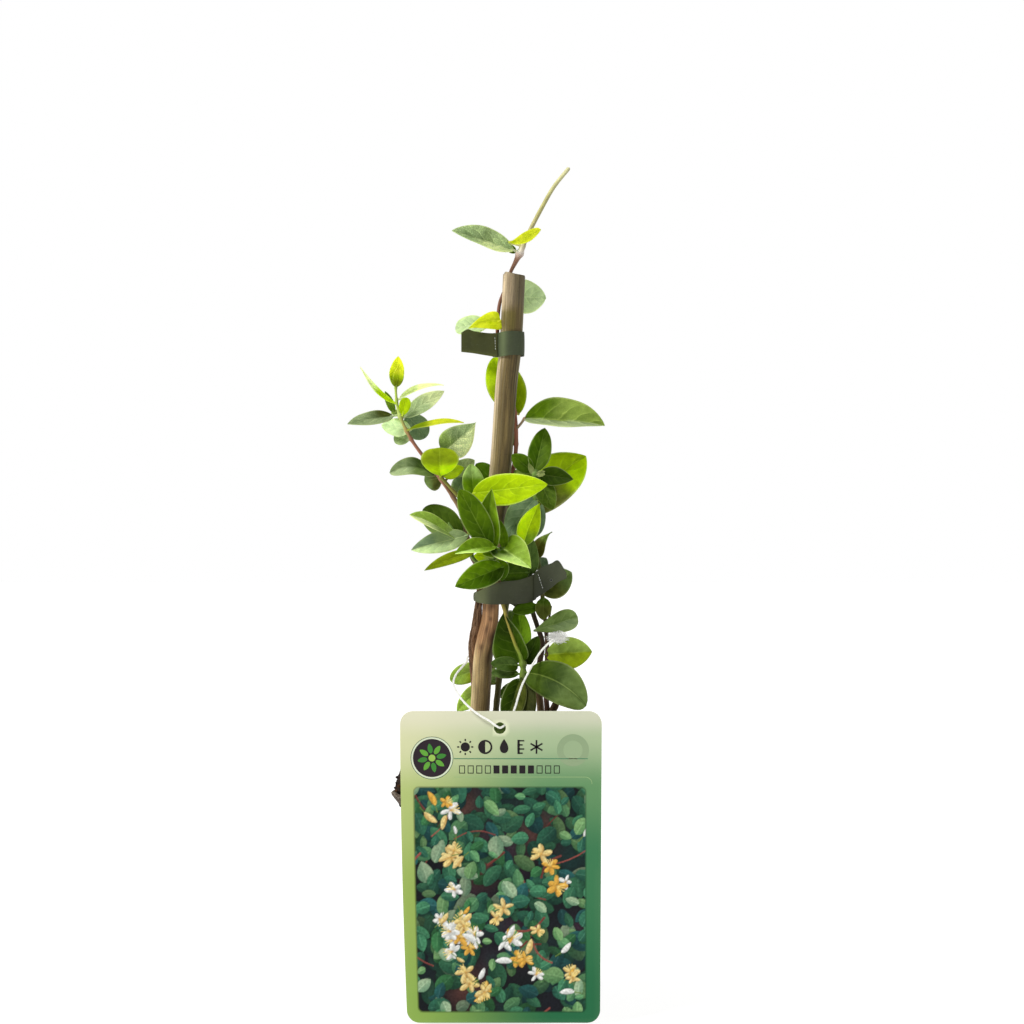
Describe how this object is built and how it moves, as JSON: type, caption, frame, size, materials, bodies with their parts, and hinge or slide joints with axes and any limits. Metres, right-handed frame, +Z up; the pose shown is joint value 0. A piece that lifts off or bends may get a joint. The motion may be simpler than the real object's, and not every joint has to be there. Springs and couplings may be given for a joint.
{
  "type": "potted honeysuckle vine",
  "caption": "Young climbing honeysuckle tied with soft tape to a bamboo cane in a fibre pot, with a plant label hanging on a cord loop.",
  "frame": {"origin": "centre of the pot's base, on the surface that it stands on", "axes": "+Z up, +X to the right as seen from the label's side, -Y towards the viewer who reads the label"},
  "size_m": [0.1145, 0.0984, 0.3786],
  "materials": {
    "pot": "speckled moulded fibre",
    "soil": "loose potting compost",
    "cane": "weathered bamboo",
    "woody_trunk": "peeling bark",
    "leader_shoot": "young green leaves",
    "left_shoot": "grey-green and lime leaves",
    "front_vine": "fresh green leaves",
    "right_vine": "dark green leaves",
    "side_vine": "olive leaves",
    "back_vine": "green leaves",
    "upper_tie": "soft tie tape",
    "lower_tie": "soft tie tape",
    "upper_staple": "wire",
    "lower_staple": "wire",
    "label_card": null,
    "label_cord": "white thread cord",
    "label_knot": "frayed white knot"
  },
  "bodies": {
    "root": {"pot": "pot", "soil": "soil", "cane": "cane", "woody_trunk": "woody_trunk", "leader_shoot": "leader_shoot", "left_shoot": "left_shoot", "front_vine": "front_vine", "right_vine": "right_vine", "side_vine": "side_vine", "back_vine": "back_vine", "upper_tie": "upper_tie", "lower_tie": "lower_tie", "upper_staple": "upper_staple", "lower_staple": "lower_staple", "label_card": "label_card", "label_cord": "label_cord", "label_knot": "label_knot"}
  },
  "joints": []
}
